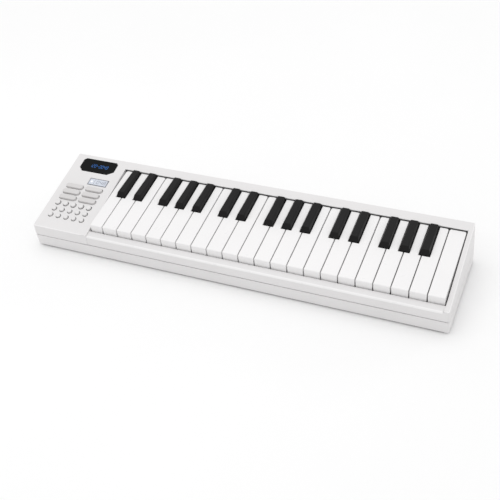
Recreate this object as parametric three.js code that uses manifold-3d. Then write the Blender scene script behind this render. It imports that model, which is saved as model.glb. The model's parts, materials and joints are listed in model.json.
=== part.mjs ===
// A slim-key synthesizer with 37 keys, as an assembly of separate parts.
// Millimetres, +Z up, +X along the keyboard to the right, +Y to the rear.
// The origin is on the floor, under the middle of the case.
import * as THREE from "three";
import { mergeVertices } from "three/addons/utils/BufferGeometryUtils.js";
import Module from "manifold-3d";

// Keyboard: the octave is 143.5 mm, as on common slim keyboards.
const WHITE_COUNT = 22;
const WHITE_PITCH = 20.5;
const KEY_GAP = 1.3;
const FIRST_KEY_TRIM = 2.9;
const KEY_VISIBLE_LENGTH = 103;
const WHITE_FRONT_TOP = 43.9;
const WHITE_SLOPE = 0.095;
const BLACK_WIDTH = 11.9;
const BLACK_SHOULDER_WIDTH = 10.2;
const BLACK_TOP_WIDTH = 7.8;
const BLACK_SHOULDER_DROP = 1.5;
const BLACK_FRONT = 55;
const BLACK_TOP_START = 58.5;
const BLACK_TOP = { atStart: 55.4, slope: 0.048 };
// The black key that follows each white key of an octave, and how far it sits off the joint between the two.
const BLACK_AFTER = {
  C: ["c_sharp", -1.8],
  D: ["d_sharp", 1.8],
  F: ["f_sharp", -3],
  G: ["g_sharp", 0],
  A: ["a_sharp", 3],
};
const NOTES = ["C", "D", "E", "F", "G", "A", "B"];

// Case.
const PANEL_WIDTH = 76.3;
const RIM_WIDTH = 6.3;
const RAIL_DEPTH = 11.85;
const DEPTH = 127.55;
const FRONT_HEIGHT = 34.9;
const REAR_HEIGHT = 58.2;
const RAIL_FRONT_HEIGHT = 33.2;
const RAIL_REAR_HEIGHT = 34.45;
const SEAM_HEIGHT = 19.2;
const SEAM_GAP = 0.9;
const UNDERSIDE = 1.8;
const WALL = 2.4;
const FLOOR = 3;
const FRONT_TAPER = 1.5;
const SIDE_FLARE = 1.6;
const CORNER_RADIUS = 2.2;
const RAIL_RECESS = 0.4;
const COLLAR_WALL = 1.8;
const COLLAR_BOTTOM = 22;
const FIT = 0.3;

// Key pivot and travel.
const PIVOT_BEHIND_FRONT = 108;
const PIVOT_HEIGHT = 45;
const ROD_RADIUS = 1.5;
const PIVOT_SIDES = 8;

const KEYS_WIDTH = WHITE_COUNT * WHITE_PITCH;
const WIDTH = PANEL_WIDTH + KEYS_WIDTH + RIM_WIDTH;
const LEFT = -WIDTH / 2;
const RIGHT = WIDTH / 2;
const FRONT = -DEPTH / 2;
const REAR = DEPTH / 2;
const KEYS_LEFT = LEFT + PANEL_WIDTH;
const KEYS_RIGHT = RIGHT - RIM_WIDTH;
const KEY_FRONT = FRONT + RAIL_DEPTH;
const OPENING_REAR = KEY_FRONT + KEY_VISIBLE_LENGTH;
// The gaps between the keys and the opening in the case.
const OPENING_GAP = { left: 1.8, right: 0.9, front: 1.5 };
const PIVOT_Y = KEY_FRONT + PIVOT_BEHIND_FRONT;
const TOP_ANGLE = Math.atan2(REAR_HEIGHT - FRONT_HEIGHT, DEPTH);
const OUTSIDE = 20;

const wasm = await Module();
wasm.setup();

// The height of the case's sloped top at y.
function topAt(y) {
  return FRONT_HEIGHT + (y - FRONT) * Math.tan(TOP_ANGLE);
}

// The height of the white keys' top at a distance behind their fronts.
function whiteTopAt(behind) {
  return WHITE_FRONT_TOP + WHITE_SLOPE * behind;
}

function boundary(index) {
  return KEYS_LEFT + index * WHITE_PITCH;
}

// A closed three.js geometry as a manifold-3d solid.
function solid(geometry) {
  const bare = geometry.clone();
  bare.deleteAttribute("normal");
  bare.deleteAttribute("uv");
  const merged = mergeVertices(bare, 1e-4);
  return new wasm.Manifold(
    new wasm.Mesh({
      numProp: 3,
      vertProperties: merged.attributes.position.array,
      triVerts: new Uint32Array(merged.index.array),
    }),
  );
}

function geometryOf(body) {
  const made = body.getMesh();
  const geometry = new THREE.BufferGeometry();
  geometry.setAttribute("position", new THREE.BufferAttribute(made.vertProperties, 3));
  geometry.setIndex(new THREE.BufferAttribute(made.triVerts, 1));
  return geometry;
}

// A box between two corners.
function block([x0, y0, z0], [x1, y1, z1]) {
  const geometry = new THREE.BoxGeometry(x1 - x0, y1 - y0, z1 - z0);
  geometry.translate((x0 + x1) / 2, (y0 + y1) / 2, (z0 + z1) / 2);
  return solid(geometry);
}

function extruded(points, depth) {
  const shape = new THREE.Shape(points.map(([a, b]) => new THREE.Vector2(a, b)));
  return new THREE.ExtrudeGeometry(shape, { depth, bevelEnabled: false, curveSegments: 6 });
}

// An outline of [y, z] points, carried along X.
function alongX(points, x0, x1) {
  const geometry = extruded(points, x1 - x0);
  const turn = new THREE.Matrix4();
  turn.makeBasis(new THREE.Vector3(0, 1, 0), new THREE.Vector3(0, 0, 1), new THREE.Vector3(1, 0, 0));
  geometry.applyMatrix4(turn);
  geometry.translate(x0, 0, 0);
  return solid(geometry);
}

// An outline of [z, x] points, carried along Y.
function alongY(points, y0, y1) {
  const geometry = extruded(points, y1 - y0);
  const turn = new THREE.Matrix4();
  turn.makeBasis(new THREE.Vector3(0, 0, 1), new THREE.Vector3(1, 0, 0), new THREE.Vector3(0, 1, 0));
  geometry.applyMatrix4(turn);
  geometry.translate(0, y0, 0);
  return solid(geometry);
}

// An outline of [x, y] points, carried along Z.
function alongZ(points, z0, z1) {
  const geometry = extruded(points, z1 - z0);
  geometry.translate(0, 0, z0);
  return solid(geometry);
}

// How far each side face leans out at a height.
function flareAt(z) {
  return SIDE_FLARE * (1 - z / REAR_HEIGHT);
}

// The case's outside with rounded corners, from z0 to z1; front and rear are pulled in by taper at z0.
function caseBody(z0, z1, taper) {
  const shape = new THREE.Shape();
  const quarter = Math.PI / 2;
  const corners = [
    [RIGHT - CORNER_RADIUS, REAR - CORNER_RADIUS],
    [LEFT + CORNER_RADIUS, REAR - CORNER_RADIUS],
    [LEFT + CORNER_RADIUS, FRONT + CORNER_RADIUS],
    [RIGHT - CORNER_RADIUS, FRONT + CORNER_RADIUS],
  ];
  corners.forEach(([x, y], i) => shape.absarc(x, y, CORNER_RADIUS, i * quarter, (i + 1) * quarter));
  const outline = shape.extractPoints(4).shape.map((point) => [point.x, point.y]);
  const geometry = extruded(outline, z1 - z0);
  geometry.translate(0, 0, z0);
  const { position } = geometry.attributes;
  for (let i = 0; i < position.count; i++) {
    const [x, y, z] = [position.getX(i), position.getY(i), position.getZ(i)];
    const pulled = taper * ((z1 - z) / (z1 - z0));
    position.setX(i, x + Math.sign(x) * flareAt(z));
    position.setY(i, y - Math.sign(y) * pulled);
  }
  return solid(geometry);
}

// A round bar along X at the key pivot.
function pivotBar(radius, x0, x1) {
  const geometry = new THREE.CylinderGeometry(radius, radius, x1 - x0, PIVOT_SIDES);
  geometry.rotateZ(Math.PI / 2);
  geometry.translate((x0 + x1) / 2, PIVOT_Y, PIVOT_HEIGHT);
  return solid(geometry);
}

const white = new THREE.Color(0xe4e4e6);
const finishes = {
  case: { color: white, roughness: 0.5, metalness: 0 },
  white_key: { color: new THREE.Color(0xf2f2f4), roughness: 0.3, metalness: 0 },
  black_key: { color: new THREE.Color(0x1c1c1e), roughness: 0.35, metalness: 0 },
  button: { color: new THREE.Color(0xd6d6da), roughness: 0.5, metalness: 0 },
  lens: { color: new THREE.Color(0x161a1e), roughness: 0.1, metalness: 0 },
  lcd: { color: new THREE.Color(0xd7e1f2), roughness: 0.25, metalness: 0 },
  frame: { color: new THREE.Color(0x3a3c40), roughness: 0.6, metalness: 0 },
  steel: { color: new THREE.Color(0xb4b6b8), roughness: 0.35, metalness: 1 },
  board: { color: new THREE.Color(0x1f5a34), roughness: 0.5, metalness: 0 },
  rubber: { color: new THREE.Color(0x2a2a2b), roughness: 0.85, metalness: 0 },
};

const instrument = new THREE.Group();

// Adds one named part; each mesh has its own material.
function part(name, body, finish, holder = instrument) {
  const mesh = new THREE.Mesh(geometryOf(body), new THREE.MeshStandardMaterial(finishes[finish]));
  mesh.name = name;
  holder.add(mesh);
  return mesh;
}

// The panel's own frame: x as the case's, y up the slope from its front edge, z out of the panel.
const panel = new THREE.Group();
panel.position.set(0, FRONT, FRONT_HEIGHT);
panel.rotation.x = TOP_ANGLE;
panel.updateMatrix();
instrument.add(panel);

// A distance behind the key fronts, as a distance up the panel's slope.
function upPanel(behind) {
  return (behind + RAIL_DEPTH) / Math.cos(TOP_ANGLE);
}

// A solid made in the panel's frame, in the case's frame.
function onCase(body) {
  const geometry = geometryOf(body);
  geometry.applyMatrix4(panel.matrix);
  return solid(geometry);
}

// ---- Panel layout: x from the key opening's left edge (negative), y behind the key fronts ----

const PILL_SIZE = [24.5, 6.5];
const PILL_COLUMNS = [-52.8, -23.8];
const PILL_ROWS = [59.4, 49.6, 40];
const PILL_HEIGHT = 2.7;
const ROUND_COLUMNS = Array.from({ length: 5 }, (_, i) => -62.1 + i * 11.575);
const ROUND_ROWS = [
  { behind: 29.7, radius: 3.2, height: 2.6 },
  { behind: 19.4, radius: 2.8, height: 2.4 },
  { behind: 9.2, radius: 2.8, height: 2.4 },
];
const ROUND_SIDES = 20;
const ROUND_HOLE_DEPTH = 8.7;
const PILL_END_STEPS = 4;
const BUTTON_PLAY = 0.75;
const FLANGE_THICKNESS = 1.2;
const FLANGE_WIDER = 1.5;
const CARRIER_HALF_WIDTH = 2;
const CARRIER_OVERHANG = 3;
const BOARD_BELOW = 6;
const BOARD_THICKNESS = 1.6;
const LENS_DEPTH = 1.2;
const LENS_PROUD = 0.2;
const WINDOW = { x: [-63.7, -12.2], behind: [87.7, 109.3] };
const WINDOW_CHAMFERS = { frontLeft: [6, 5.7], frontRight: [8, 6], rear: [3, 3] };
const WINDOW_LEDGE = 4;
const SMALL_LCD = { x: [-38.5, -11], behind: [67.1, 78.1] };
const SMALL_LCD_LEDGE = 1.6;

// A pill outline with round ends, centred on x, y.
function pillOutline(x, y, [length, width]) {
  const radius = width / 2;
  const shape = new THREE.Shape();
  shape.absarc(x + length / 2 - radius, y, radius, -Math.PI / 2, Math.PI / 2);
  shape.absarc(x - length / 2 + radius, y, radius, Math.PI / 2, (3 * Math.PI) / 2);
  return shape.extractPoints(PILL_END_STEPS).shape.map((point) => [point.x, point.y]);
}

function roundOutline(x, y, radius) {
  const turn = (2 * Math.PI) / ROUND_SIDES;
  return Array.from({ length: ROUND_SIDES }, (_, i) => {
    return [x + radius * Math.cos(i * turn), y + radius * Math.sin(i * turn)];
  });
}

// The window's outline with cut corners, pulled in by inset.
function windowOutline(inset) {
  const [x0, x1] = WINDOW.x.map((x, i) => KEYS_LEFT + x + (i ? -inset : inset));
  const [y0, y1] = WINDOW.behind.map((y, i) => upPanel(y) + (i ? -inset : inset));
  const { frontLeft, frontRight, rear } = WINDOW_CHAMFERS;
  return [
    [x0 + frontLeft[0], y0],
    [x1 - frontRight[0], y0],
    [x1, y0 + frontRight[1]],
    [x1, y1 - rear[1]],
    [x1 - rear[0], y1],
    [x0 + rear[0], y1],
    [x0, y1 - rear[1]],
    [x0, y0 + frontLeft[1]],
  ];
}

function lcdOutline(inset) {
  const [x0, x1] = SMALL_LCD.x.map((x, i) => KEYS_LEFT + x + (i ? -inset : inset));
  const [y0, y1] = SMALL_LCD.behind.map((y, i) => upPanel(y) + (i ? -inset : inset));
  return [
    [x0, y0],
    [x1, y0],
    [x1, y1],
    [x0, y1],
  ];
}

// ---- Case ----

const SOCKET_HEIGHT = 34;
const USB = { x: LEFT + 22, width: 9.4, height: 3.8, depth: 8, shell: 0.5, back: 2 };
const USB_TONGUE = { width: 4.7, thickness: 0.8, root: 1, setBack: 1.5 };
const JACK = { x: LEFT + 48, radius: 5.6, bore: 3.4, depth: 14, bottom: 1.6, sides: 16 };

// The jack's outside or bore, along Y from y0 to the rear face.
function jackCylinder(radius, y0, y1) {
  const geometry = new THREE.CylinderGeometry(radius, radius, y1 - y0, JACK.sides);
  geometry.translate(JACK.x, (y0 + y1) / 2, SOCKET_HEIGHT);
  return solid(geometry);
}

function usbBlock(inset, y0, y1) {
  return block(
    [USB.x - USB.width / 2 + inset, y0, SOCKET_HEIGHT - USB.height / 2 + inset],
    [USB.x + USB.width / 2 - inset, y1, SOCKET_HEIGHT + USB.height / 2 - inset],
  );
}

function topCase() {
  const bottom = SEAM_HEIGHT + SEAM_GAP / 2;
  const openingLeft = KEYS_LEFT + FIRST_KEY_TRIM - OPENING_GAP.left;
  const openingRight = KEYS_RIGHT + OPENING_GAP.right;
  const openingFront = KEY_FRONT - OPENING_GAP.front;
  const railStep = RAIL_REAR_HEIGHT - RAIL_FRONT_HEIGHT;
  const railTop = (y) => RAIL_FRONT_HEIGHT + ((y - FRONT) / RAIL_DEPTH) * railStep;
  const high = REAR_HEIGHT + OUTSIDE;
  const outer = alongX(
    [
      [FRONT, bottom],
      [REAR, bottom],
      [REAR, REAR_HEIGHT],
      [FRONT, FRONT_HEIGHT],
    ],
    LEFT - SIDE_FLARE,
    RIGHT + SIDE_FLARE,
  )
    .intersect(caseBody(0, high, 0))
    .subtract(
      alongX(
        [
          [FRONT - 1, railTop(FRONT - 1)],
          [KEY_FRONT + 1, railTop(KEY_FRONT + 1)],
          [KEY_FRONT + 1, high],
          [FRONT - 1, high],
        ],
        openingLeft,
        openingRight,
      ),
    )
    .subtract(block([openingLeft, FRONT - 1, 0], [RIGHT + OUTSIDE, FRONT + RAIL_RECESS, high]));
  const cavity = alongX(
    [
      [FRONT + WALL, bottom - 1],
      [REAR - WALL, bottom - 1],
      [REAR - WALL, topAt(REAR - WALL) - WALL],
      [KEY_FRONT + 1, topAt(KEY_FRONT + 1) - WALL],
      [KEY_FRONT + 1, railTop(KEY_FRONT + 1) - WALL],
      [FRONT + WALL, railTop(FRONT + WALL) - WALL],
    ],
    LEFT + WALL,
    RIGHT - WALL,
  );
  const collar = outer.intersect(
    block(
      [openingLeft - COLLAR_WALL, openingFront - COLLAR_WALL, COLLAR_BOTTOM],
      [openingRight + COLLAR_WALL, OPENING_REAR, high],
    ),
  );
  const opening = block([openingLeft, openingFront, 0], [openingRight, OPENING_REAR, high]);
  let shell = outer.subtract(cavity).add(collar).subtract(opening);
  const through = [-WALL - 1, 1];
  const cuts = [
    onCase(alongZ(windowOutline(-FIT), -LENS_DEPTH - FIT, 1)),
    onCase(alongZ(windowOutline(WINDOW_LEDGE), ...through)),
    onCase(alongZ(lcdOutline(-FIT), -LENS_DEPTH - FIT, 1)),
    onCase(alongZ(lcdOutline(SMALL_LCD_LEDGE), ...through)),
    usbBlock(-FIT, REAR - WALL - 1, REAR + 1),
    jackCylinder(JACK.radius + FIT, REAR - WALL - 1, REAR + 1),
  ];
  for (const column of PILL_COLUMNS) {
    for (const row of PILL_ROWS) {
      const size = PILL_SIZE.map((value) => value + 2 * BUTTON_PLAY);
      cuts.push(onCase(alongZ(pillOutline(KEYS_LEFT + column, upPanel(row), size), ...through)));
    }
  }
  for (const row of ROUND_ROWS) {
    for (const column of ROUND_COLUMNS) {
      const outline = roundOutline(KEYS_LEFT + column, upPanel(row.behind), row.radius + BUTTON_PLAY);
      cuts.push(onCase(alongZ(outline, -ROUND_HOLE_DEPTH, 1)));
    }
  }
  for (const cut of cuts) shell = shell.subtract(cut);
  return shell;
}

// A rubber strip runs along the front edge of the underside, and another along its rear edge.
const FOOT = { fromEnd: 4, fromEdge: FRONT_TAPER + 1.2, depth: 9, top: UNDERSIDE - FIT };
const footFronts = { front_foot: FRONT + FOOT.fromEdge, rear_foot: REAR - FOOT.fromEdge - FOOT.depth };

function foot(y) {
  return block([LEFT + FOOT.fromEnd, y, 0], [RIGHT - FOOT.fromEnd, y + FOOT.depth, FOOT.top]);
}

// Two rows of screw bosses join the shells.
const BOSS = {
  count: 5,
  fromEnd: 24,
  fromFront: 22,
  fromRear: 18,
  radius: 3.2,
  sides: 8,
  bottom: 2.5,
  top: 17.5,
};

function bottomCase() {
  const top = SEAM_HEIGHT - SEAM_GAP / 2;
  const outer = caseBody(UNDERSIDE, top, FRONT_TAPER);
  const cavity = block(
    [LEFT + WALL, FRONT + FRONT_TAPER + WALL, UNDERSIDE + FLOOR],
    [RIGHT - WALL, REAR - FRONT_TAPER - WALL, top + 1],
  );
  let shell = outer.subtract(cavity);
  for (let i = 0; i < BOSS.count; i++) {
    const x = THREE.MathUtils.lerp(LEFT + BOSS.fromEnd, RIGHT - BOSS.fromEnd, i / (BOSS.count - 1));
    for (const y of [FRONT + BOSS.fromFront, REAR - BOSS.fromRear]) {
      const length = BOSS.top - BOSS.bottom;
      const geometry = new THREE.CylinderGeometry(BOSS.radius, BOSS.radius, length, BOSS.sides);
      geometry.rotateX(Math.PI / 2);
      geometry.translate(x, y, (BOSS.top + BOSS.bottom) / 2);
      shell = shell.add(solid(geometry));
    }
  }
  return shell;
}

part("top_case", topCase(), "case");
part("bottom_case", bottomCase(), "case");
for (const [name, y] of Object.entries(footFronts)) part(name, foot(y), "rubber");

// ---- Sockets in the rear wall ----

function usbSocket() {
  const rear = REAR - FIT;
  const front = rear - USB.depth;
  const tongue = block(
    [USB.x - USB_TONGUE.width / 2, front + USB_TONGUE.root, SOCKET_HEIGHT - USB_TONGUE.thickness / 2],
    [USB.x + USB_TONGUE.width / 2, rear - USB_TONGUE.setBack, SOCKET_HEIGHT + USB_TONGUE.thickness / 2],
  );
  return usbBlock(0, front, rear).subtract(usbBlock(USB.shell, front + USB.back, rear + 1)).add(tongue);
}

function pedalJack() {
  const rear = REAR - FIT;
  const front = rear - JACK.depth;
  const bore = jackCylinder(JACK.bore, front + JACK.bottom, rear + 1);
  return jackCylinder(JACK.radius, front, rear).subtract(bore);
}

part("usb_socket", usbSocket(), "steel");
part("pedal_jack", pedalJack(), "frame");

// ---- Key frame, pivot rod and contacts ----

const PLATE = { bottom: 19.6, top: 21.4, frontGap: 2.5, rearGap: 1, beyondKeys: 2.6 };
const BRACKET = { thickness: 1.5, depth: 8, top: PIVOT_HEIGHT + 4, beyondKeys: 1.85 };
// The brackets stand at the joints between two white keys that have no black key, and at both ends.
const bracketPlaces = [KEYS_LEFT - BRACKET.beyondKeys, KEYS_RIGHT + BRACKET.beyondKeys];
for (let i = 1; i < WHITE_COUNT; i++) {
  if (!blackAfter(i - 1)) bracketPlaces.push(boundary(i));
}
const ROD_BEYOND_KEYS = 3.2;

function keyFrame() {
  let body = block(
    [KEYS_LEFT - PLATE.beyondKeys, KEY_FRONT + PLATE.frontGap, PLATE.bottom],
    [KEYS_RIGHT + PLATE.beyondKeys, REAR - WALL - PLATE.rearGap, PLATE.top],
  );
  for (const x of bracketPlaces) {
    const bracket = block(
      [x - BRACKET.thickness / 2, PIVOT_Y - BRACKET.depth / 2, PLATE.bottom],
      [x + BRACKET.thickness / 2, PIVOT_Y + BRACKET.depth / 2, BRACKET.top],
    );
    body = body.add(bracket);
  }
  return body.subtract(pivotBar(ROD_RADIUS + FIT, KEYS_LEFT - OUTSIDE, KEYS_RIGHT + OUTSIDE));
}

const CONTACT_BEHIND = 70.5;
const CONTACT_INSET = 2;
const CONTACT_BOARD = { bottom: 21.8, top: 23.4, depth: 24 };
const CONTACT_STRIP = { bottom: 23.7, top: 24.6, depth: 12, dome: 26.6, domeSize: 5, domeRoot: 0.5 };
const PLUNGER = { halfWidth: 1.6, halfDepth: 1.4, bottom: 29.6 };

function acrossKeys({ bottom, top, depth }) {
  const y = KEY_FRONT + CONTACT_BEHIND;
  return block(
    [KEYS_LEFT + CONTACT_INSET, y - depth / 2, bottom],
    [KEYS_RIGHT - CONTACT_INSET, y + depth / 2, top],
  );
}

function contactStrip(keyCentres) {
  let body = acrossKeys(CONTACT_STRIP);
  const half = CONTACT_STRIP.domeSize / 2;
  const y = KEY_FRONT + CONTACT_BEHIND;
  for (const x of keyCentres) {
    const dome = block(
      [x - half, y - half, CONTACT_STRIP.top - CONTACT_STRIP.domeRoot],
      [x + half, y + half, CONTACT_STRIP.dome],
    );
    body = body.add(dome);
  }
  return body;
}

// ---- Keys ----

const KEY_WALL = 1.8;
const HEAD_LENGTH = BLACK_FRONT - 1;
const BLACK_CLEARANCE = 0.8;
const BRACKET_CLEARANCE = 0.65;
const TAIL_START = 101;
const TAIL_TOP = 50;
const TAIL_END = 112;
const POCKET_END = TAIL_START - 3;
const POCKET_BELOW = 5;
const TOP_END = KEY_VISIBLE_LENGTH - 0.8;
const WHITE_BOTTOM = 30.4;
const BLACK_BOTTOM = 35;
const TAIL_BOTTOM = 41;
const TAIL_JOINT_BOTTOM = 39;
const BLACK_POCKET_RISE = 6;

// Side outlines are given as [distance behind the key fronts, height].
const toCase = ([behind, height]) => [KEY_FRONT + behind, height];
const whiteSide = [
  [0, WHITE_BOTTOM],
  [TAIL_START, TAIL_JOINT_BOTTOM],
  [TAIL_START + 4, TAIL_BOTTOM],
  [TAIL_END, TAIL_BOTTOM],
  [TAIL_END, TAIL_TOP],
  [TOP_END, TAIL_TOP],
  [TOP_END, whiteTopAt(TOP_END)],
  [0, WHITE_FRONT_TOP],
];
const whitePocket = [
  [KEY_WALL, WHITE_BOTTOM - POCKET_BELOW],
  [POCKET_END, WHITE_BOTTOM - POCKET_BELOW],
  [POCKET_END, whiteTopAt(POCKET_END) - KEY_WALL],
  [KEY_WALL, whiteTopAt(KEY_WALL) - KEY_WALL],
];
const blackTopAt = (behind) => BLACK_TOP.atStart + BLACK_TOP.slope * (behind - BLACK_TOP_START);
const blackSide = [
  [BLACK_FRONT, BLACK_BOTTOM],
  [TAIL_START, TAIL_JOINT_BOTTOM],
  [TAIL_START + 4, TAIL_BOTTOM],
  [TAIL_END, TAIL_BOTTOM],
  [TAIL_END, TAIL_TOP],
  [TOP_END, TAIL_TOP],
  [TOP_END, blackTopAt(TOP_END)],
  [BLACK_TOP_START, BLACK_TOP.atStart],
  [BLACK_FRONT, whiteTopAt(BLACK_FRONT)],
];
const blackPocket = [
  [BLACK_FRONT + KEY_WALL, BLACK_BOTTOM - POCKET_BELOW],
  [POCKET_END, BLACK_BOTTOM - POCKET_BELOW],
  [POCKET_END, blackTopAt(POCKET_END) - 2 * KEY_WALL],
  [BLACK_FRONT + 2 * KEY_WALL, blackTopAt(BLACK_FRONT) - 2 * KEY_WALL],
  [BLACK_FRONT + KEY_WALL, BLACK_BOTTOM + BLACK_POCKET_RISE],
];

// Opens a key from below, between x0 and x1, and stands its plunger in the pocket, up to plungerTop.
function hollowed(body, pocket, x0, x1, plungerTop) {
  const y = KEY_FRONT + CONTACT_BEHIND;
  const middle = (x0 + x1) / 2;
  const plunger = block(
    [middle - PLUNGER.halfWidth, y - PLUNGER.halfDepth, PLUNGER.bottom],
    [middle + PLUNGER.halfWidth, y + PLUNGER.halfDepth, plungerTop],
  );
  const room = alongX(pocket.map(toCase), x0 + KEY_WALL, x1 - KEY_WALL);
  return body.subtract(room).add(plunger);
}

// The black key after white key i, as [note name, offset], or undefined where there is none.
function blackAfter(i) {
  return i >= 0 && i < WHITE_COUNT - 1 ? BLACK_AFTER[NOTES[i % NOTES.length]] : undefined;
}

// Where one side of white key i stands, at its head, its narrow part and its tail.
// The lowest key is a little narrower than the others on its left.
function whiteSides(i, side) {
  const joint = boundary(side > 0 ? i + 1 : i);
  const black = blackAfter(side > 0 ? i : i - 1);
  const trim = i === 0 && side < 0 ? FIRST_KEY_TRIM : 0;
  const head = joint - (side * KEY_GAP) / 2 + trim;
  if (!black) return [head, head, joint - side * (BRACKET.thickness / 2 + BRACKET_CLEARANCE) + trim];
  const narrow = joint + black[1] - side * (BLACK_WIDTH / 2 + BLACK_CLEARANCE);
  return [head, narrow, narrow];
}

// An outline without the points that repeat the one before.
function distinct(points) {
  return points.filter(([x, y], i) => {
    const [x0, y0] = points[(i + points.length - 1) % points.length];
    return Math.hypot(x - x0, y - y0) > 1e-6;
  });
}

function whiteKey(i) {
  const [leftHead, leftNarrow, leftTail] = whiteSides(i, -1);
  const [rightHead, rightNarrow, rightTail] = whiteSides(i, 1);
  const head = KEY_FRONT + HEAD_LENGTH;
  const tail = KEY_FRONT + TAIL_START;
  const outline = distinct([
    [leftHead, KEY_FRONT],
    [rightHead, KEY_FRONT],
    [rightHead, head],
    [rightNarrow, head],
    [rightNarrow, tail],
    [rightTail, tail],
    [rightTail, REAR],
    [leftTail, REAR],
    [leftTail, tail],
    [leftNarrow, tail],
    [leftNarrow, head],
    [leftHead, head],
  ]);
  const body = alongX(whiteSide.map(toCase), leftHead, rightHead)
    .intersect(alongZ(outline, 0, REAR_HEIGHT + OUTSIDE))
    .subtract(pivotBar(ROD_RADIUS + FIT, leftHead - 1, rightHead + 1));
  return hollowed(body, whitePocket, leftNarrow, rightNarrow, whiteTopAt(CONTACT_BEHIND) - KEY_WALL / 2);
}

// A black key centred on x, whose sides lean in to a shoulder and are bevelled above it.
function blackKey(x) {
  const base = [-OUTSIDE * 2, BLACK_WIDTH / 2];
  const foot = [whiteTopAt(BLACK_FRONT) - BLACK_TOP.atStart, BLACK_WIDTH / 2];
  const shoulder = [-BLACK_SHOULDER_DROP, BLACK_SHOULDER_WIDTH / 2];
  const top = [0, BLACK_TOP_WIDTH / 2];
  const left = [base, foot, shoulder, top].map(([drop, half]) => [drop, x - half]);
  const right = [base, foot, shoulder, top].map(([drop, half]) => [drop, x + half]);
  const leaned = geometryOf(alongY([...left, ...right.reverse()], 0, DEPTH));
  const { atStart, slope } = BLACK_TOP;
  const follow = new THREE.Matrix4();
  follow.set(1, 0, 0, 0, 0, 1, 0, KEY_FRONT, 0, slope, 1, atStart - slope * BLACK_TOP_START, 0, 0, 0, 1);
  leaned.applyMatrix4(follow);
  const sides = [x - BLACK_WIDTH / 2, x + BLACK_WIDTH / 2];
  const body = alongX(blackSide.map(toCase), ...sides)
    .intersect(solid(leaned))
    .subtract(pivotBar(ROD_RADIUS + FIT, sides[0] - 1, sides[1] + 1));
  return hollowed(body, blackPocket, ...sides, blackTopAt(CONTACT_BEHIND) - KEY_WALL);
}

const keyCentres = [];
for (let i = 0; i < WHITE_COUNT; i++) {
  const number = String(i + 1).padStart(2, "0");
  part("white_key_" + number, whiteKey(i), "white_key");
  keyCentres.push(boundary(i) + WHITE_PITCH / 2);
  const black = blackAfter(i);
  if (black) {
    const middle = boundary(i + 1) + black[1];
    const octave = Math.floor(i / NOTES.length) + 1;
    const name = "black_key_" + black[0] + "_" + octave;
    part(name, blackKey(middle), "black_key");
    keyCentres.push(middle);
  }
}

part("key_frame", keyFrame(), "frame");
const rodEnds = [KEYS_LEFT - ROD_BEYOND_KEYS, KEYS_RIGHT + ROD_BEYOND_KEYS];
part("key_pivot_rod", pivotBar(ROD_RADIUS, ...rodEnds), "steel");
part("key_contact_board", acrossKeys(CONTACT_BOARD), "board");
part("key_contact_strip", contactStrip(keyCentres), "rubber");

// ---- Panel parts, in the panel's frame ----

const UNDER_PANEL = -WALL - FIT;

// A button's cap with the flange that keeps it in its hole.
function cappedButton(outline, flange, height) {
  const cap = alongZ(outline, UNDER_PANEL - FLANGE_THICKNESS / 2, height);
  return cap.add(alongZ(flange, UNDER_PANEL - FLANGE_THICKNESS, UNDER_PANEL));
}

PILL_COLUMNS.forEach((column, c) => {
  PILL_ROWS.forEach((row, r) => {
    const place = [KEYS_LEFT + column, upPanel(row)];
    const wider = PILL_SIZE.map((value) => value + 2 * FLANGE_WIDER);
    const button = cappedButton(pillOutline(...place, PILL_SIZE), pillOutline(...place, wider), PILL_HEIGHT);
    part("pill_button_" + ["left", "right"][c] + "_" + (r + 1), button, "button", panel);
  });
});

ROUND_ROWS.forEach((row, r) => {
  const y = upPanel(row.behind);
  const ends = [ROUND_COLUMNS[0], ROUND_COLUMNS[ROUND_COLUMNS.length - 1]].map((x) => KEYS_LEFT + x);
  let strip = block(
    [ends[0] - CARRIER_OVERHANG, y - CARRIER_HALF_WIDTH, UNDER_PANEL - FLANGE_THICKNESS],
    [ends[1] + CARRIER_OVERHANG, y + CARRIER_HALF_WIDTH, UNDER_PANEL],
  );
  for (const column of ROUND_COLUMNS) {
    const outline = roundOutline(KEYS_LEFT + column, y, row.radius);
    strip = strip.add(alongZ(outline, UNDER_PANEL - FLANGE_THICKNESS / 2, row.height));
  }
  part("round_button_row_" + (r + 1), strip, "button", panel);
});

const MODULE_INSET = 5;
const BOARD = { x: [-69, -5], behind: [4, 111] };

part("display_window", alongZ(windowOutline(0), -LENS_DEPTH, LENS_PROUD), "lens", panel);
const displayModule = alongZ(windowOutline(MODULE_INSET), -BOARD_BELOW + FIT, -LENS_DEPTH - FIT);
part("display_module", displayModule, "frame", panel);
part("small_lcd", alongZ(lcdOutline(0), -LENS_DEPTH, LENS_PROUD), "lcd", panel);
part(
  "main_board",
  block(
    [KEYS_LEFT + BOARD.x[0], upPanel(BOARD.behind[0]), -BOARD_BELOW - BOARD_THICKNESS],
    [KEYS_LEFT + BOARD.x[1], upPanel(BOARD.behind[1]), -BOARD_BELOW],
  ),
  "board",
  panel,
);

export default instrument;
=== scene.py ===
# The looks of a slim-key synthesizer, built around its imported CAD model. Metres, +Z up.
import json
import math

import bmesh
import bpy
from mathutils import Matrix, Vector


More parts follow.
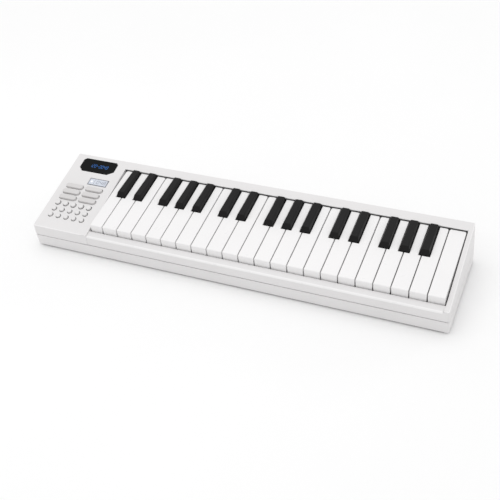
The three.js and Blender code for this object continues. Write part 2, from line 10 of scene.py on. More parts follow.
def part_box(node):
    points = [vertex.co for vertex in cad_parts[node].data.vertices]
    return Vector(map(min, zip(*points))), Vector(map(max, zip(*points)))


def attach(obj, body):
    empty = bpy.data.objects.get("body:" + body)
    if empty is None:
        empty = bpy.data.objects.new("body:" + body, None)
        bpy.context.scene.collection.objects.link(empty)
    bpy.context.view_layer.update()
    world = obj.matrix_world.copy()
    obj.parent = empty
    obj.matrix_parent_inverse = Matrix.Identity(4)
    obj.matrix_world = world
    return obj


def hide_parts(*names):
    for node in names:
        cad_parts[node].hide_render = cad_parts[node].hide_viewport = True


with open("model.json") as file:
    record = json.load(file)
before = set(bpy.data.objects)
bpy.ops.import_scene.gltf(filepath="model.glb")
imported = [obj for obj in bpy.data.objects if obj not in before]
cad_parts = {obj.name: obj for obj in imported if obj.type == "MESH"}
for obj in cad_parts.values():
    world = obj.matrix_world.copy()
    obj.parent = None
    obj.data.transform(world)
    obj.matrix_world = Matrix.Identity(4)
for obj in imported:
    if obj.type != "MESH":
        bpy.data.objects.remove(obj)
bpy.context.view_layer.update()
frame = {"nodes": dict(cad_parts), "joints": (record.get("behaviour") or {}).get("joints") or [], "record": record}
MM = 0.001


# ---- Camera ----

AZIMUTH = math.radians(27.454)
ELEVATION = math.radians(41.528)
ROLL = math.radians(-7.471)
LENS = 64.05
CAMERA_PLACE = (0.3872, -0.7354, 0.7389)


def aim_camera():
    """The camera stands to the right of the front and looks down on the keys, with the horizon tilted."""
    level = math.cos(ELEVATION)
    back = Vector((math.sin(AZIMUTH) * level, -math.cos(AZIMUTH) * level, math.sin(ELEVATION)))
    level_right = (-back).cross(Vector((0, 0, 1))).normalized()
    level_up = level_right.cross(-back)
    right = math.cos(ROLL) * level_right + math.sin(ROLL) * level_up
    up = -math.sin(ROLL) * level_right + math.cos(ROLL) * level_up
    camera = bpy.data.objects.new("camera", bpy.data.cameras.new("camera"))
    camera.data.sensor_width = 36
    camera.data.lens = LENS
    camera.data.clip_end = 20
    turn = Matrix((right, up, back)).transposed().to_4x4()
    camera.matrix_world = Matrix.Translation(CAMERA_PLACE) @ turn
    bpy.context.scene.collection.objects.link(camera)
    bpy.context.scene.camera = camera


# ---- Materials ----

class Nodes:
    """Short calls for building one material's nodes."""

    def __init__(self, name):
        self.material = bpy.data.materials.new(name)
        self.material.use_nodes = True
        self.tree = self.material.node_tree
        self.shader = self.tree.nodes["Principled BSDF"]

    def add(self, kind, **inputs):
        node = self.tree.nodes.new("ShaderNode" + kind)
        for name, value in inputs.items():
            node.inputs[name.replace("_", " ")].default_value = value
        return node

    def join(self, start, end):
        self.tree.links.new(start, end)

    def set(self, **values):
        for name, value in values.items():
            self.shader.inputs[name.replace("_", " ")].default_value = value

    def place(self):
        return self.add("TexCoord").outputs["Object"]

    def noise(self, scale, detail=2.0, stretch=None):
        """Noise over the piece, with that many spots in a metre; stretch squeezes it along X, Y and Z."""
        node = self.add("TexNoise", Scale=scale, Detail=detail)
        if stretch:
            mapping = self.add("Mapping")
            mapping.inputs["Scale"].default_value = stretch
            self.join(self.place(), mapping.inputs["Vector"])
            self.join(mapping.outputs["Vector"], node.inputs["Vector"])
        else:
            self.join(self.place(), node.inputs["Vector"])
        return node.outputs["Fac"]

    def spread(self, value, low, high):
        """Maps a noise, which stays mostly between 0.3 and 0.7, to low..high."""
        node = self.add("MapRange")
        node.inputs["From Min"].default_value = 0.3
        node.inputs["From Max"].default_value = 0.7
        node.inputs["To Min"].default_value = low
        node.inputs["To Max"].default_value = high
        self.join(value, node.inputs["Value"])
        return node.outputs["Result"]

    def colours(self, value, first, second):
        node = self.tree.nodes.new("ShaderNodeValToRGB")
        node.color_ramp.elements[0].position = 0.35
        node.color_ramp.elements[1].position = 0.65
        node.color_ramp.elements[0].color = (*first, 1)
        node.color_ramp.elements[1].color = (*second, 1)
        self.join(value, node.inputs["Fac"])
        self.join(node.outputs["Color"], self.shader.inputs["Base Color"])

    def bump(self, height, depth, strength=1.0):
        node = self.add("Bump", Strength=strength, Distance=depth)
        self.join(height, node.inputs["Height"])
        self.join(node.outputs["Normal"], self.shader.inputs["Normal"])


def shade(colour, factor):
    return tuple(min(1, c * factor) for c in colour)


def plastic(name, colour, roughness, grain=2500, depth=0.00002, drift=0.02, coat=0.0, specular=0.5):
    """Moulded plastic: a slow drift in colour, a fine texture from the mould, and a gloss that hands have changed."""
    nodes = Nodes(name)
    nodes.colours(nodes.noise(18, 3), shade(colour, 1 - drift), shade(colour, 1 + drift))
    nodes.join(nodes.spread(nodes.noise(70, 9), roughness - 0.06, roughness + 0.06),
               nodes.shader.inputs["Roughness"])
    nodes.bump(nodes.noise(grain, 3), depth)
    nodes.set(IOR=1.47, Specular_IOR_Level=specular, Coat_Weight=coat, Coat_Roughness=0.12)
    return nodes.material


def rubber(name, colour):
    nodes = Nodes(name)
    nodes.colours(nodes.noise(60, 4), shade(colour, 0.8), shade(colour, 1.25))
    grain = nodes.noise(1800, 4)
    nodes.join(nodes.spread(grain, 0.72, 0.9), nodes.shader.inputs["Roughness"])
    nodes.bump(grain, 0.00008)
    nodes.set(IOR=1.5, Sheen_Weight=0.1)
    return nodes.material


def metal(name, colour, roughness, stretch):
    """Steel with fine lines from drawing or pressing, which run along the axis that stretch squeezes least."""
    nodes = Nodes(name)
    nodes.colours(nodes.noise(40, 3), shade(colour, 0.9), shade(colour, 1.08))
    lines = nodes.noise(900, 3, stretch)
    nodes.join(nodes.spread(lines, roughness - 0.08, roughness + 0.1), nodes.shader.inputs["Roughness"])
    nodes.bump(lines, 0.00001)
    nodes.set(Metallic=1.0)
    return nodes.material


def glowing(name, colour, strength):
    """A lit display element, uneven like a real segment."""
    nodes = Nodes(name)
    nodes.colours(nodes.noise(700, 2), shade(colour, 0.8), colour)
    nodes.set(Emission_Color=(*colour, 1), Emission_Strength=strength, Roughness=0.3)
    return nodes.material


def circuit(name):
    """Green solder mask over copper traces."""
    nodes = Nodes(name)
    traces = nodes.add("TexBrick", Scale=160, Mortar_Size=0.09)
    nodes.join(nodes.place(), traces.inputs["Vector"])
    traces.inputs["Color1"].default_value = (0.012, 0.11, 0.04, 1)
    traces.inputs["Color2"].default_value = (0.015, 0.13, 0.05, 1)
    traces.inputs["Mortar"].default_value = (0.03, 0.2, 0.08, 1)
    nodes.join(traces.outputs["Color"], nodes.shader.inputs["Base Color"])
    nodes.bump(traces.outputs["Fac"], 0.00003)
    nodes.set(Roughness=0.35, Coat_Weight=0.3)
    return nodes.material


MATERIALS = {
    "case": plastic("case_plastic", (0.755, 0.743, 0.744), 0.37,
                    grain=2600, depth=0.00003, drift=0.01),
    # A lighter, glossier plastic for the upper shell's rounded edges: a painted highlight where the edges catch the
    # light.
    "case_painted_highlight": plastic("case_painted_highlight_plastic", (0.86, 0.85, 0.852), 0.3,
                         grain=2600, depth=0.00001, drift=0.01),
    "white_key": plastic("white_key_plastic", (0.865, 0.855, 0.857), 0.32,
                         grain=900, depth=0.000008, drift=0.008, coat=0.1),
    "black_key": plastic("black_key_plastic", (0.009, 0.0085, 0.0088), 0.4,
                         grain=2200, depth=0.00002, drift=0.12, specular=0.16),
    "button": plastic("button_plastic", (0.65, 0.635, 0.633), 0.42,
                      grain=2400, depth=0.00003, drift=0.015),
    "round_button": plastic("round_button_plastic", (0.76, 0.75, 0.75), 0.34,
                            grain=2400, depth=0.00002, drift=0.01),
    "display_lens": plastic("display_acrylic", (0.0085, 0.009, 0.009), 0.16,
                            grain=300, depth=0.000002, drift=0.15, specular=0.06),
    "lcd_lens": plastic("lcd_glass", (0.61, 0.645, 0.72), 0.2,
                        grain=900, depth=0.000003, drift=0.05, coat=0.2),
    "lcd_ink": plastic("lcd_frame_ink", (0.17, 0.17, 0.19), 0.5,
                       grain=1500, depth=0.000005, drift=0.08),
    "lcd_digit": plastic("lcd_digit_ink", (0.3, 0.32, 0.37), 0.4,
                         grain=1500, depth=0.000005, drift=0.08),
    "lcd_lamp": glowing("lcd_lamp_glow", (0.95, 0.97, 1.0), 0.4),
    "readout": glowing("readout_glow", (0.012, 0.12, 0.42), 0.3),
    "display_module": plastic("module_plastic", (0.03, 0.03, 0.035), 0.5),
    "circuit_board": circuit("solder_mask"),
    "frame_plastic": plastic("frame_plastic", (0.05, 0.05, 0.055), 0.6,
                             grain=900, depth=0.00006, drift=0.08),
    "rod_steel": metal("drawn_steel", (0.55, 0.55, 0.56), 0.32, (0.05, 1, 1)),
    "contact_rubber": rubber("contact_rubber", (0.05, 0.05, 0.052)),
    "foot_rubber": rubber("foot_rubber", (0.02, 0.02, 0.02)),
    "socket_metal": metal("pressed_steel", (0.6, 0.6, 0.61), 0.28, (1, 0.1, 1)),
    "socket_plastic": plastic("socket_plastic", (0.02, 0.02, 0.02), 0.45, depth=0.00003, drift=0.1),
}

# Each node's material slot and body, from the record.
SLOTS = {row["node"]: row["material_slot"] for row in frame["record"]["subparts"]}
BODIES = {node: body for body, nodes in frame["record"]["behaviour"]["bodies"].items() for node in nodes}


# ---- The panel's own axes ----

class Panel:
    """The sloped panel: x along the keyboard, y up the slope and z out of its surface."""

    def __init__(self):
        press = next(joint for joint in frame["joints"] if joint["name"].startswith("pill_button"))
        out = -Vector(press["axis"]).normalized()
        along = Vector((1, 0, 0))
        surface = max(vertex.co.dot(out) for vertex in frame["nodes"]["top_case"].data.vertices)
        self.matrix = Matrix((along, out.cross(along), out)).transposed().to_4x4()
        self.matrix.translation = out * surface
        self.inverse = self.matrix.inverted()

    def points(self, node):
        return [self.inverse @ vertex.co for vertex in frame["nodes"][node].data.vertices]

    def box(self, node, above=-1.0):
        """Lowest and highest corner of a node's points that lie higher than above, on the panel's axes."""
        points = [point for point in self.points(node) if point.z > above]
        return [Vector([pick(point[axis] for point in points) for axis in range(3)]) for pick in (min, max)]


panel = Panel()
ON_PANEL = 0.05 * MM


# ---- Mesh helpers ----

SAME_POINT = 0.005 * MM
ON_CUT = 0.001 * MM
FLAT = math.radians(0.5)
FACING = 0.9  # a normal with this much of an axis faces along it
AT_SIDE = 0.1 * MM  # an edge this near to a side of a box lies on that side
SHARP = math.radians(32)


def finish_piece(name, mesh, material, body, slot):
    """Makes an object of a bmesh, with its material, and lets it ride on a body."""
    bmesh.ops.recalc_face_normals(mesh, faces=mesh.faces)
    data = bpy.data.meshes.new(name)
    mesh.to_mesh(data)
    mesh.free()
    data.materials.append(material)
    piece = bpy.data.objects.new(name, data)
    bpy.context.scene.collection.objects.link(piece)
    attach(piece, body)
    return piece


def smooth_shading(mesh, sharp_angle=SHARP):
    """Smooth faces, with edges over the angle kept sharp."""
    for face in mesh.faces:
        face.smooth = True
    for edge in mesh.edges:
        edge.smooth = edge.calc_face_angle(0) < sharp_angle


def flat_stay_flat(piece):
    """Large faces keep their own normal, so that only the rounded edges shade as round."""
    weighted = piece.modifiers.new("flat_faces", "WEIGHTED_NORMAL")
    weighted.keep_sharp = True
    weighted.weight = 100


def clean_mesh(source, cuts=()):
    """A CAD node's mesh with its flat faces whole again, but parted at the cuts along X, so that none has a hole."""
    mesh = bmesh.new()
    mesh.from_mesh(source.data)
    bmesh.ops.remove_doubles(mesh, verts=mesh.verts, dist=SAME_POINT)
    for x in cuts:
        everything = mesh.verts[:] + mesh.edges[:] + mesh.faces[:]
        cut = bmesh.ops.bisect_plane(mesh, geom=everything, dist=ON_CUT, plane_co=(x, 0, 0), plane_no=(1, 0, 0))
        for part in cut["geom_cut"]:
            if isinstance(part, bmesh.types.BMEdge):
                part.seam = True
    bmesh.ops.dissolve_limit(mesh, angle_limit=FLAT, verts=mesh.verts, edges=mesh.edges, delimit={"SEAM"})
    return mesh


def rounded(node, width_at, segments=4, angle=25, cuts=(), painted_highlight_material=None):
    """The CAD node's shape as a new piece, with rounded edges.

    width_at gives the width in mm for each convex edge sharper than angle, from the edge's middle and the normals of
    its two faces. The edge material, a lighter plastic, goes on the roundings alone as a painted highlight.
    """
    mesh = clean_mesh(frame["nodes"][node], cuts)
    weights = mesh.edges.layers.float.new("bevel_weight_edge")
    widths = {}
    for edge in mesh.edges:
        if edge.is_manifold and edge.calc_face_angle_signed(0) > math.radians(angle):
            middle = (edge.verts[0].co + edge.verts[1].co) / 2
            widths[edge] = width_at(middle, [face.normal for face in edge.link_faces])
    widest = max(widths.values())
    for edge, width in widths.items():
        edge[weights] = width / widest
    smooth_shading(mesh)
    slot = SLOTS[node]
    piece = finish_piece(node + "_shape", mesh, MATERIALS[slot], BODIES[node], slot)
    bevel = piece.modifiers.new("rounded_edges", "BEVEL")
    bevel.limit_method = "WEIGHT"
    bevel.offset_type = "OFFSET"
    bevel.width = widest * MM
    bevel.segments = segments
    bevel.use_clamp_overlap = False
    bevel.miter_outer = "MITER_ARC"
    # The roundings may get a lighter material of their own: a painted highlight.
    if painted_highlight_material:
        piece.data.materials.append(MATERIALS[painted_highlight_material])
        bevel.material = 1
    flat_stay_flat(piece)
    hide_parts(node)
    return piece


def skin(mesh, rings, matrix=Matrix(), closed=False):
    """Faces between rings of equally many points, with both ends covered, or the last ring joined to the first."""
    rows = [[mesh.verts.new(matrix @ point) for point in ring] for ring in rings]
    count = len(rows[0])
    pairs = list(zip(rows, rows[1:]))
    if closed:
        pairs.append((rows[-1], rows[0]))
    else:
        mesh.faces.new(reversed(rows[0]))
        mesh.faces.new(rows[-1])
    for lower, upper in pairs:
        for i in range(count):
            j = (i + 1) % count
            mesh.faces.new((lower[i], lower[j], upper[j], upper[i]))


def box_rings(low, high):
    corners = [(low.x, low.y), (high.x, low.y), (high.x, high.y), (low.x, high.y)]
    return [[Vector((x, y, z)) for x, y in corners] for z in (low.z, high.z)]


def lathe(mesh, matrix, profile, steps, shape=lambda angle: 1.0):
    """Rings round the z axis from a profile of (radius, height, lobed); a lobed ring's radius follows shape."""
    rings = []
    for radius, height, lobed in profile:
        turns = [2 * math.pi * i / steps for i in range(steps)]
        radii = [radius * (shape(turn) if lobed else 1) for turn in turns]
        rings.append([Vector((r * math.cos(t), r * math.sin(t), height)) for r, t in zip(radii, turns)])
    skin(mesh, rings, matrix)


# ---- Case ----

# Widths of the rounded edges, in mm.
PANEL_RIM_EDGE = 0.9
OPENING_EDGE = 0.45
HOLE_EDGE = 0.22
RAIL_FRONT_EDGE = 2.0
RAIL_REAR_EDGE = 0.4
SEAM_EDGE = 0.35
BOTTOM_EDGE = 0.3

# Distances in mm. An edge counts as outside when it is this near to a side of the shell's box.
OUTER_RIM = 3
OUTER_WALL = 2
RAIL_DEPTH = 1.5
RAIL_RUN_OUT = 2.4
CUT_BESIDE_BUTTON = 1.4
WINDOW_TO_KEYS = 5

BUTTONS_IN_ROW = 5

# A row of screws stands behind the front of the case, or, where it is negative, before the rear.
SCREW_ROWS = (22, -18)
SCREW_COLUMNS = 5
SCREWS_FROM_END = 25.6


def near_outside(point, low, high, distance):
    """Whether a point is within that many mm of one of the four sides of a box."""
    near = distance * MM
    return (point.x - low.x < near or high.x - point.x < near
            or point.y - low.y < near or high.y - point.y < near)


def case_edges():
    """How wide each edge of the upper shell is rounded, in mm."""
    low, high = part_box("top_case")
    key_front = min(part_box(node)[0].y for node in frame["nodes"] if node.startswith("white_key"))
    panel_right = panel.box("display_window")[1].x + WINDOW_TO_KEYS * MM
    run_out = rail_edge_end()

    def width_at(middle, normals):
        if abs((panel.inverse @ middle).z) < ON_PANEL:
            if near_outside(middle, low, high, OUTER_RIM):
                return PANEL_RIM_EDGE
            return OPENING_EDGE if middle.x > panel_right else HOLE_EDGE
        if middle.y < key_front and max(normal.z for normal in normals) > FACING:
            if middle.y - low.y > RAIL_DEPTH * MM:
                return RAIL_REAR_EDGE
            return RAIL_FRONT_EDGE if middle.x < run_out else 0.0
        under = min(normal.z for normal in normals) < -FACING
        if under and middle.z < low.z + MM and near_outside(middle, low, high, OUTER_WALL):
            return SEAM_EDGE
        return 0.0

    return width_at


def rail_edge_end():
    """Where the rounding of the rail's front edge runs out, just before the right rim."""
    levels = [point for point in panel.points("top_case") if abs(point.z) < ON_PANEL]
    front = min(point.y for point in levels)
    rim = [point.x for point in levels if point.y < front + MM and point.x > 0]
    return min(rim) - RAIL_RUN_OUT * MM


def lower_case_edges():
    """How wide each edge of the lower shell is rounded, in mm."""
    low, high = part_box("bottom_case")

    def width_at(middle, normals):
        under = min(normal.z for normal in normals) < -FACING
        if under and middle.z < low.z + MM and near_outside(middle, low, high, OUTER_RIM):
            return BOTTOM_EDGE
        at_seam = middle.z > high.z - AT_SIDE
        return SEAM_EDGE if at_seam and near_outside(middle, low, high, OUTER_WALL) else 0.0

    return width_at


def round_button_places(row="round_button_row_1"):
    """Where the buttons of a row stand along X."""
    low, high = panel.box(row, above=0)
    radius = (high.y - low.y) / 2
    span = high.x - low.x - 2 * radius
    return [low.x + radius + span * i / (BUTTONS_IN_ROW - 1) for i in range(BUTTONS_IN_ROW)]


def screw_places():
    """Where the columns of underside screws stand along X."""
    low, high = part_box("bottom_case")
    first, last = low.x + SCREWS_FROM_END * MM, high.x - SCREWS_FROM_END * MM
    return [first + (last - first) * i / (SCREW_COLUMNS - 1) for i in range(SCREW_COLUMNS)]


def build_case():
    """Both shells, cut beside the holes and across the key opening, so that every face is free of holes."""
    first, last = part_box("white_key_01")[0].x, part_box("white_key_22")[1].x
    through_keys = [first + MM, (first + last) / 2, last - MM]
    through_buttons = [x + CUT_BESIDE_BUTTON * MM for x in round_button_places()]
    # The upper shell's roundings get a lighter plastic, a painted highlight along its edges.
    rounded("top_case", case_edges(), cuts=through_buttons + through_keys + [rail_edge_end()],
            painted_highlight_material="case_painted_highlight")
    rounded("bottom_case", lower_case_edges(), cuts=screw_places())


# ---- Keys ----

# Widths of the rounded edges, and the black keys' rounded height, in mm.
PLAYING_EDGE = 0.95
WHITE_TOP_EDGE = 0.45
WHITE_CORNER_EDGE = 0.4
BLACK_EDGE = 0.55
BLACK_ROUNDED_DOWN_TO = 12


def white_key_width(middle, normals):
    """The playing edge is rounded most, then the rims of the top, then the front corners."""
    up = max(normal.z for normal in normals) > FACING
    front = min(normal.y for normal in normals) < -FACING
    if up:
        return PLAYING_EDGE if front else WHITE_TOP_EDGE
    return WHITE_CORNER_EDGE if front else 0.0


def build_keys():
    black_top = max(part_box(node)[1].z for node in frame["nodes"] if node.startswith("black_key"))
    black_low = black_top - BLACK_ROUNDED_DOWN_TO * MM

    def black_key_width(middle, normals):
        return BLACK_EDGE if middle.z > black_low else 0.0

    for node in frame["nodes"]:
        if node.startswith("white_key"):
            rounded(node, white_key_width)
        elif node.startswith("black_key"):
            rounded(node, black_key_width, segments=3, angle=20)


# ---- Buttons ----

# Sizes in mm. The flange is the foot of a cap, under the panel.
PILL_FILLET = 0.7
ROUND_FILLET = 0.8
BUTTON_CROWN = 0.25
FLANGE = 1.2
FLANGE_WIDER = 1.5

# Where the rings of a cap's top stand, from its rounded edge at 0 to its middle at 1.
CROWN_RINGS = (0.35, 0.65, 0.9)


def pill_ring(centre, straight, radius, height, steps):
    """Points round a pill outline, whose straight sides may have no length."""
    ring = []
    count = steps + 1 if straight > 0.01 * MM else steps
    for side in (1, -1):
        for i in range(count):
            angle = math.pi * (i / steps - 0.5)
            x = centre.x + side * (straight + radius * math.cos(angle))
            ring.append(Vector((x, centre.y + side * radius * math.sin(angle), height)))
    return ring


def cap_profile(radius, top, fillet, crown, steps=5):
    """(inset, height) from the cap's side over its rounded edge to the slightly crowned top."""
    profile = []
    for i in range(steps + 1):
        angle = math.pi / 2 * i / steps
        profile.append((fillet * (1 - math.cos(angle)), top - crown - fillet * (1 - math.sin(angle))))
    for share in CROWN_RINGS:
        inset = fillet + (radius - fillet) * share
        profile.append((inset, top - crown * (1 - share) ** 2))
    return profile


def button_cap(mesh, centre, straight, radius, low, flange, top, fillet, steps):
    """One moulded cap, straight being half its straight side, or 0, and flange how far its foot stands out, or 0."""
    profile = [(-flange, low), (-flange, low + FLANGE * MM)] if flange else []
    profile.append((0, low + FLANGE * MM if flange else low))
    profile += cap_profile(radius, top, fillet, BUTTON_CROWN * MM)
    rings = [pill_ring(centre, straight, radius - inset, height, steps) for inset, height in profile]
    skin(mesh, rings, panel.matrix)


def add_pill(mesh, node):
    low, high = panel.box(node, above=0)
    radius = (high.y - low.y) / 2
    straight = (high.x - low.x) / 2 - radius
    foot = panel.box(node)[0].z
    button_cap(mesh, (low + high) / 2, straight, radius, foot, FLANGE_WIDER * MM, high.z, PILL_FILLET * MM, 12)


def add_round_row(mesh, node):
    """Round caps on one flat carrier under the panel."""
    low, high = panel.box(node, above=0)
    foot_low, foot_high = panel.box(node)
    carrier_top = foot_low.z + FLANGE * MM
    skin(mesh, box_rings(foot_low, Vector((foot_high.x, foot_high.y, carrier_top))), panel.matrix)
    for x in round_button_places(node):
        centre = Vector((x, (low.y + high.y) / 2, 0))
        button_cap(mesh, centre, 0, (high.y - low.y) / 2, foot_low.z + FLANGE * MM / 2, 0, high.z,
                   ROUND_FILLET * MM, 16)


def build_buttons():
    for node in frame["nodes"]:
        if node.startswith("pill_button"):
            add, material = add_pill, "button"
        elif node.startswith("round_button"):
            add, material = add_round_row, "round_button"
        else:
            continue
        mesh = bmesh.new()
        add(mesh, node)
        smooth_shading(mesh)
        piece = finish_piece(node + "_caps", mesh, MATERIALS[material], BODIES[node], SLOTS[node])
        flat_stay_flat(piece)
        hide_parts(node)


# ---- Displays ----

SEGMENTS = {"a": ((0, 2), (1, 2)), "b": ((1, 1), (1, 2)), "c": ((1, 0), (1, 1)), "d": ((0, 0), (1, 0)),
            "e": ((0, 0), (0, 1)), "f": ((0, 1), (0, 2)), "g": ((0, 1), (1, 1))}
DIGITS = {"0": "abcdef", "1": "bc", "2": "abdeg", "4": "bcfg", "8": "abcdefg", "-": "g"}
SLANT = 0.1
BAR_GAP = 0.12  # between the bars of a character, as a share of a bar's width

# Sizes in mm. What is drawn on a lens starts SUNK below its surface.
WINDOW_EDGE = 0.3
LCD_EDGE = 0.15
SUNK = 0.01
READOUT_TEXT = "120-0048"
READOUT_SIZE = (2.2, 5.2)
READOUT_PITCH = 3.45
READOUT_STROKE = 0.55
READOUT_HEIGHT = 0.06
READOUT_ASIDE = 1.6
LCD_TEXT = "048"
LCD_DIGIT_WIDTH = 3
LCD_DIGITS_AFTER_DIVIDER = 3.2
LCD_PITCH = 5
LCD_STROKE = 0.7
LCD_INK = 0.05
LCD_FRAME_WIDTH = 0.75
LCD_FRAME_HEIGHT = 0.12
LCD_DIVIDER_WIDTH = 0.3
LCD_LAMP_RADIUS = 2
LCD_LAMP_HEIGHT = 0.06

# Shares of the LCD's width, for the divider, and of its height, for the digits' feet and their own height.
LCD_DIVIDER = 0.3
LCD_DIGITS_UP = 0.28
LCD_DIGIT_HEIGHT = 0.44


def add_bar(mesh, start, end, width, low, high):
    """A display segment with pointed ends, from start to end on the panel."""
    along = (end - start).normalized()
    side = Vector((-along.y, along.x)) * width / 2
    tip = along * width / 2
    gap = along * width * BAR_GAP
    first, last = start + gap, end - gap
    outline = [first, first + tip - side, last - tip - side, last, last - tip + side, first + tip + side]
    skin(mesh, [[Vector((point.x, point.y, z)) for point in outline] for z in (low, high)], panel.matrix)


def add_digits(mesh, text, corner, size, pitch, stroke, low, high):
    """A row of seven-segment characters, whose lower left corner is at corner."""
    width, height = size
    for i, character in enumerate(text):
        for key in DIGITS[character]:
            ends = [Vector((corner.x + i * pitch + x * width + SLANT * y * height / 2,
                            corner.y + y * height / 2)) for x, y in SEGMENTS[key]]
            add_bar(mesh, *ends, stroke, low, high)


def display_piece(name, mesh, material, slot):
    smooth_shading(mesh)
    return finish_piece(name, mesh, MATERIALS[material], BODIES["display_window"], slot)


def outline_ring(mesh, low, high, width, bottom, top):
    """A flat rectangular frame, width wide, from bottom to top."""
    rings = []
    for inset, height in ((0, bottom), (0, top), (width, top), (width, bottom)):
        x0, x1, y0, y1 = low.x + inset, high.x - inset, low.y + inset, high.y - inset
        rings.append([Vector((x, y, height)) for x, y in ((x0, y0), (x1, y0), (x1, y1), (x0, y1))])
    skin(mesh, rings, panel.matrix, closed=True)


def build_lenses():
    """The two windows, rounded where they stand out of the panel."""
    def rim(width):
        return lambda middle, normals: width if (panel.inverse @ middle).z > 0 else 0.0

    rounded("display_window", rim(WINDOW_EDGE), segments=3)
    rounded("small_lcd", rim(LCD_EDGE), segments=2)


def build_readout():
    """The blue characters of the dark window."""
    low, high = panel.box("display_window")
    surface = high.z - SUNK * MM
    size = [length * MM for length in READOUT_SIZE]
    pitch = READOUT_PITCH * MM
    start = Vector(((low.x + high.x) / 2 + READOUT_ASIDE * MM - len(READOUT_TEXT) / 2 * pitch,
                    (low.y + high.y) / 2 - size[1] / 2))
    mesh = bmesh.new()
    add_digits(mesh, READOUT_TEXT, start, size, pitch, READOUT_STROKE * MM,
               surface, surface + READOUT_HEIGHT * MM)
    display_piece("display_readout", mesh, "readout", "display_lens")


def lamp_outline(turn):
    """Eight lobes, as a share of the lamp's radius."""
    return 0.72 + 0.28 * math.cos(8 * turn)


def build_lcd_marks():
    """On the pale LCD: a frame with a divider, then three digits, then a lamp with a lobed outline."""
    low, high = panel.box("small_lcd")
    height = high.y - low.y
    divider = low.x + LCD_DIVIDER * (high.x - low.x)
    surface = high.z - SUNK * MM
    ink = surface + LCD_INK * MM

    mesh = bmesh.new()
    outline_ring(mesh, low, high, LCD_FRAME_WIDTH * MM, surface, surface + LCD_FRAME_HEIGHT * MM)
    add_bar(mesh, Vector((divider, low.y + MM)), Vector((divider, high.y - MM)), LCD_DIVIDER_WIDTH * MM,
            surface, ink)
    display_piece("small_lcd_frame", mesh, "lcd_ink", "lcd_lens")

    mesh = bmesh.new()
    start = Vector((divider + LCD_DIGITS_AFTER_DIVIDER * MM, low.y + LCD_DIGITS_UP * height))
    add_digits(mesh, LCD_TEXT, start, (LCD_DIGIT_WIDTH * MM, LCD_DIGIT_HEIGHT * height),
               LCD_PITCH * MM, LCD_STROKE * MM, surface, ink)
    display_piece("small_lcd_digits", mesh, "lcd_digit", "lcd_lens")

    mesh = bmesh.new()
    middle = Vector(((low.x + divider) / 2, (low.y + high.y) / 2, surface))
    profile = [(LCD_LAMP_RADIUS * MM, lamp_height, True) for lamp_height in (0, LCD_LAMP_HEIGHT * MM)]
    lathe(mesh, panel.matrix @ Matrix.Translation(middle), profile, 32, lamp_outline)
    display_piece("small_lcd_lamp", mesh, "lcd_lamp", "lcd_lens")


def build_displays():
    build_lenses()
    build_readout()
    build_lcd_marks()


# ---- Painted shade at the rear of the key opening ----

# Sizes in mm of the painted shade strip. Heights are from the edge of the rear rim.
SHADE_STRIP_TOP = -1.2
SHADE_STRIP_BOTTOM = -2.6
SHADE_STRIP_FRONT = 0.5
SHADE_STRIP_BACK = 0.05
SHADE_STRIP_EDGE = 0.12
SHADE_STRIP_PAST_KEYS = (1.6, 0.7)


def build_rear_gap_shade():
    """A dark strip on the rear wall of the key opening, over the ends of the keys: painted shade for the gap there.
    """
    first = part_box("white_key_01")[0].x - SHADE_STRIP_PAST_KEYS[0] * MM
    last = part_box("white_key_22")[1].x + SHADE_STRIP_PAST_KEYS[1] * MM
    rim = [vertex.co for vertex in frame["nodes"]["top_case"].data.vertices
           if first - MM < vertex.co.x < last + MM and abs((panel.inverse @ vertex.co).z) < ON_PANEL]
    corner = max(rim, key=lambda point: point.y)
    front, rear = corner.y - SHADE_STRIP_FRONT * MM, corner.y - SHADE_STRIP_BACK * MM
    bottom, top = corner.z + SHADE_STRIP_BOTTOM * MM, corner.z + SHADE_STRIP_TOP * MM
    edge = SHADE_STRIP_EDGE * MM
    outline = [(front + edge, bottom), (rear, bottom), (rear, top), (front + edge, top), (front, top - edge),
               (front, bottom + edge)]
    mesh = bmesh.new()
    skin(mesh, [[Vector((x, y, z)) for y, z in outline] for x in (first, last)])
    smooth_shading(mesh)
    # A dark piece of contact rubber stands in for the shade in the gap behind the keys.
    finish_piece("rear_gap_painted_shade", mesh, MATERIALS["contact_rubber"], BODIES["top_case"], "contact_rubber")


# ---- Underside and sockets ----

# (radius, height, lobed) of a screw's head in mm, from under the shell's face to the bottom of the cross recess.
SCREW_PROFILE = ((2.7, -0.3, False), (2.7, 0.25, False), (2.45, 0.55, False), (1.9, 0.75, False),
                 (1.45, 0.8, True), (1.3, -0.2, True))
# Sizes in mm, apart from the grooves' places as shares of the sole's depth, the scale and the angle.
SOLE_EDGE = 0.25
SOLE_GROOVE = 0.4
SOLE_GROOVE_SIDE = 0.45
SOLE_GROOVES = (0.25, 0.5, 0.75)
FOOT_END = 0.6
FOOT_END_SCALE = 0.8
FOOT_SHARP = math.radians(50)
JACK_EDGE = 0.4
USB_EDGE = 0.14


def cross_recess(turn):
    """Four arms, as a share of the recess's radius."""
    return 0.36 + 0.64 * abs(math.cos(2 * turn)) ** 3


def build_screws():
    """Pan-head screws with a cross recess, in two rows under the lower shell."""
    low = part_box("bottom_case")[0]
    front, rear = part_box("top_case")[0].y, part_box("top_case")[1].y
    mesh = bmesh.new()
    for x in screw_places():
        for row in SCREW_ROWS:
            y = (front if row > 0 else rear) + row * MM
            face_down = Matrix.Translation((x, y, low.z)) @ Matrix.Rotation(math.pi, 4, "X")
            lathe(mesh, face_down, [(r * MM, h * MM, lobed) for r, h, lobed in SCREW_PROFILE], 32, cross_recess)
    smooth_shading(mesh)
    finish_piece("underside_screws", mesh, MATERIALS["socket_metal"], BODIES["bottom_case"], "socket_metal")


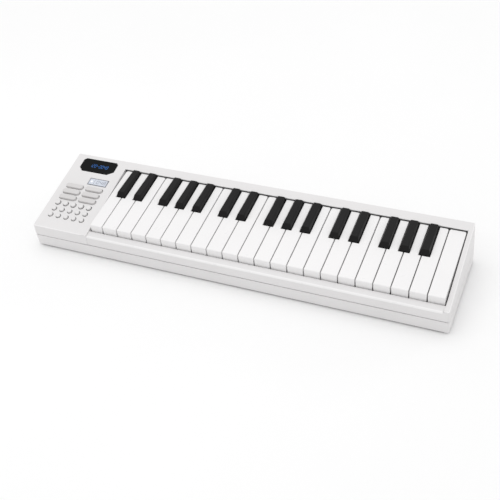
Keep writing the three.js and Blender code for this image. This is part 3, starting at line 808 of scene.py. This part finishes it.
def sole_outline(low, high):
    """Points (y, z) round a foot strip, with chamfered edges and grooves along its sole."""
    edge, groove, side = SOLE_EDGE * MM, SOLE_GROOVE * MM, SOLE_GROOVE_SIDE * MM
    outline = [(low.y + edge, high.z), (low.y, high.z - edge), (low.y, low.z + edge), (low.y + edge, low.z)]
    for share in SOLE_GROOVES:
        y = low.y + share * (high.y - low.y)
        outline += [(y - 2 * side, low.z), (y - side, low.z + groove), (y + side, low.z + groove),
                    (y + 2 * side, low.z)]
    return outline + [(high.y - edge, low.z), (high.y, low.z + edge), (high.y, high.z - edge),
                      (high.y - edge, high.z)]


def build_feet():
    """Rubber strips that taper at both ends."""
    for node in ("front_foot", "rear_foot"):
        low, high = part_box(node)
        middle_y, middle_z = (low.y + high.y) / 2, (low.z + high.z) / 2
        end = FOOT_END * MM
        rings = []
        for x, scale in ((low.x, FOOT_END_SCALE), (low.x + end, 1), (high.x - end, 1), (high.x, FOOT_END_SCALE)):
            rings.append([Vector((x, middle_y + (y - middle_y) * scale, middle_z + (z - middle_z) * scale))
                          for y, z in sole_outline(low, high)])
        mesh = bmesh.new()
        skin(mesh, rings)
        smooth_shading(mesh, FOOT_SHARP)
        piece = finish_piece(node + "_strip", mesh, MATERIALS["foot_rubber"], BODIES[node], SLOTS[node])
        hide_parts(node)


def build_sockets():
    """The jack and the USB socket, rounded where they face the rear."""
    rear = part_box("pedal_jack")[1].y

    def rim(width):
        return lambda middle, normals: width if middle.y > rear - AT_SIDE else 0.0

    rounded("pedal_jack", rim(JACK_EDGE), segments=3)
    rounded("usb_socket", rim(USB_EDGE), segments=2)


# ---- Hidden parts ----

def paint_hidden_nodes():
    """Parts inside the case keep their CAD shape."""
    for node, piece in frame["nodes"].items():
        piece.data.materials.clear()
        piece.data.materials.append(MATERIALS[SLOTS[node]])


# ---- Room ----

ROOM_BRIGHTNESS = 0.81
FLOOR_HALF = 6

# Name, place, target, size and power of each soft light.
LIGHTS = (
    ("key_light", (-0.3, 0.25, 2.1), (0, 0, 0), (2.2, 2.2), 12.5),
    ("front_light", (-0.3, -0.85, 1.1), (0, 0, 0.03), (2.4, 0.3), 1.6),
    ("edge_light", (1.3, 1.2, 0.42), (0, 0, 0), (0.6, 0.3), 1.6),
)


def add_light(name, place, target, size, power):
    light = bpy.data.lights.new(name, "AREA")
    light.shape = "RECTANGLE"
    light.size, light.size_y = size
    light.energy = power
    lamp = bpy.data.objects.new(name, light)
    lamp.location = place
    lamp.rotation_euler = (Vector(target) - Vector(place)).to_track_quat("-Z", "Y").to_euler()
    bpy.context.scene.collection.objects.link(lamp)


def build_floor():
    mesh = bmesh.new()
    bmesh.ops.create_grid(mesh, x_segments=1, y_segments=1, size=FLOOR_HALF)
    data = bpy.data.meshes.new("floor")
    mesh.to_mesh(data)
    mesh.free()
    floor = bpy.data.objects.new("floor", data)
    paper = Nodes("floor_paper")
    paper.colours(paper.noise(3, 3), (0.935, 0.935, 0.935), (0.945, 0.945, 0.945))
    paper.set(Roughness=0.9)
    data.materials.append(paper.material)
    bpy.context.scene.collection.objects.link(floor)


def build_room():
    world = bpy.data.worlds.new("room")
    world.use_nodes = True
    background = world.node_tree.nodes["Background"]
    background.inputs["Color"].default_value = (1, 1, 1, 1)
    background.inputs["Strength"].default_value = ROOM_BRIGHTNESS
    bpy.context.scene.world = world
    bpy.context.scene.view_settings.view_transform = "Standard"
    build_floor()
    for light in LIGHTS:
        add_light(*light)


aim_camera()
paint_hidden_nodes()
build_case()
build_keys()
build_buttons()
build_displays()
# The dark strip at the rear of the key opening is painted shade.
build_rear_gap_shade()
build_screws()
build_feet()
build_sockets()
build_room()
